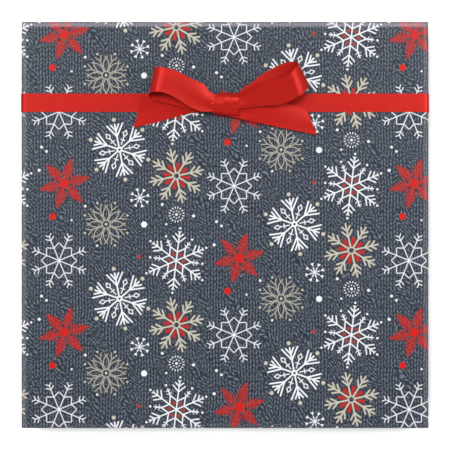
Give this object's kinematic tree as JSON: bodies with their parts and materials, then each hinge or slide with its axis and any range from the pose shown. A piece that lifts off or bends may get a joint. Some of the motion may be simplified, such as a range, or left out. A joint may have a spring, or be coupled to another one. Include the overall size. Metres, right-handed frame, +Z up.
{
  "type": "gift parcel with ribbon and bow",
  "caption": "Square flat gift parcel: a lidded carton wrapped in printed paper, with a satin ribbon band near one end and a tied bow on it.",
  "frame": {"origin": "centre of the underside, on the surface that the parcel lies on", "axes": "+Z up, out of the large face with the bow; +Y along the parcel towards the end nearest the ribbon; +X along the ribbon band"},
  "size_m": [0.3568, 0.3558, 0.0774],
  "materials": {
    "carton_board": "matte",
    "printed_paper": "satin",
    "clear_tape": "gloss",
    "red_satin": "satin",
    "glue": "satin"
  },
  "bodies": {
    "parcel": {"carton_base": "carton_board", "carton_lid": "carton_board", "wrapping_paper": "printed_paper", "seam_tape": "clear_tape", "back_end_tape": "clear_tape", "front_end_tape": "clear_tape"},
    "ribbon": {"ribbon_band": "red_satin", "band_join_tape": "clear_tape", "bow_glue_dot": "glue", "bow_knot": "red_satin", "bow_loop_left": "red_satin", "bow_loop_right": "red_satin", "bow_tail_left": "red_satin", "bow_tail_right": "red_satin"}
  },
  "joints": [
    {"name": "ribbon_slide", "type": "slide", "parent": "parcel", "child": "ribbon", "axis": [0, 1, 0], "range_m": [-0.27, 0.125]}
  ]
}
